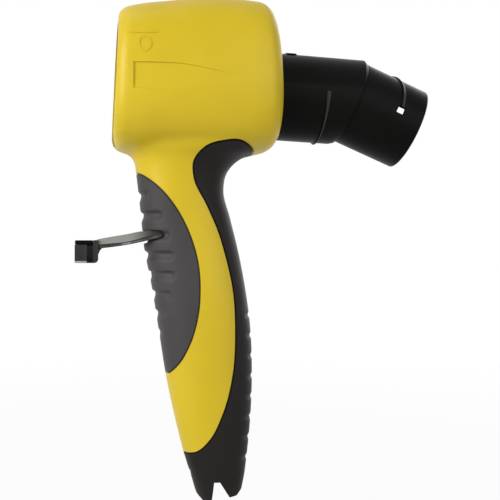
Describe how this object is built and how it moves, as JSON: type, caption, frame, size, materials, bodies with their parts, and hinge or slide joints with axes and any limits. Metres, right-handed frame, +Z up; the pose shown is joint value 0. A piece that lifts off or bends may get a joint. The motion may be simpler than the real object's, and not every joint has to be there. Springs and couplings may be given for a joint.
{
  "type": "paint spray gun handle",
  "caption": "Hand grip of a hose-fed paint spray gun: round front socket for a spray head, swivelling rear hose elbow, sprung catch lever, soft grips.",
  "frame": {"origin": "middle of the hand grip, on the plane between the two housing halves", "axes": "+Z up along the grip to the head, -X forwards out of the round front socket, +X back along the hose elbow, -Y out of the side that the picture shows"},
  "size_m": [0.1938, 0.08, 0.2707],
  "materials": {
    "yellow_shell": "moulded yellow plastic with a fine satin grain",
    "front_skin": "soft charcoal overmould, matt",
    "rear_skin": "soft black overmould, matt",
    "black_fitting": "black moulded plastic, satin",
    "seal": "black sealing rubber",
    "swivel_bush": "natural white bearing plastic",
    "catch": "dark grey moulded plastic, satin gloss",
    "steel": "zinc-plated steel"
  },
  "bodies": {
    "root": {"left_housing": "yellow_shell", "right_housing": "yellow_shell", "left_front_skin": "front_skin", "right_front_skin": "front_skin", "left_rear_skin": "rear_skin", "right_rear_skin": "rear_skin", "front_socket": "black_fitting", "socket_seal": "seal", "air_duct": "black_fitting", "swivel_seal": "seal", "swivel_bush": "swivel_bush", "lever_pin": "steel", "return_spring": "steel", "housing_screw_1": "steel", "housing_screw_2": "steel", "housing_screw_3": "steel", "housing_screw_4": "steel", "housing_screw_5": "steel", "housing_screw_6": "steel"},
    "lever": {"catch_lever": "catch", "catch_tip": "catch"},
    "swivel": {"elbow": "black_fitting", "hose_socket": "black_fitting"}
  },
  "joints": [
    {"name": "lever_release", "type": "hinge", "parent": "root", "child": "lever", "pos_m": [-0.015, 0, 0.0162], "axis": [0, -1, 0], "range_deg": [0, 5], "stiffness_Nm_per_rad": 0.4, "springref_deg": -8.59, "deforming": ["return_spring"]},
    {"name": "elbow_swivel", "type": "hinge", "parent": "root", "child": "swivel", "pos_m": [-0.0404, 0, 0.095], "axis": [0.9989, 0, -0.0471], "continuous": true}
  ]
}
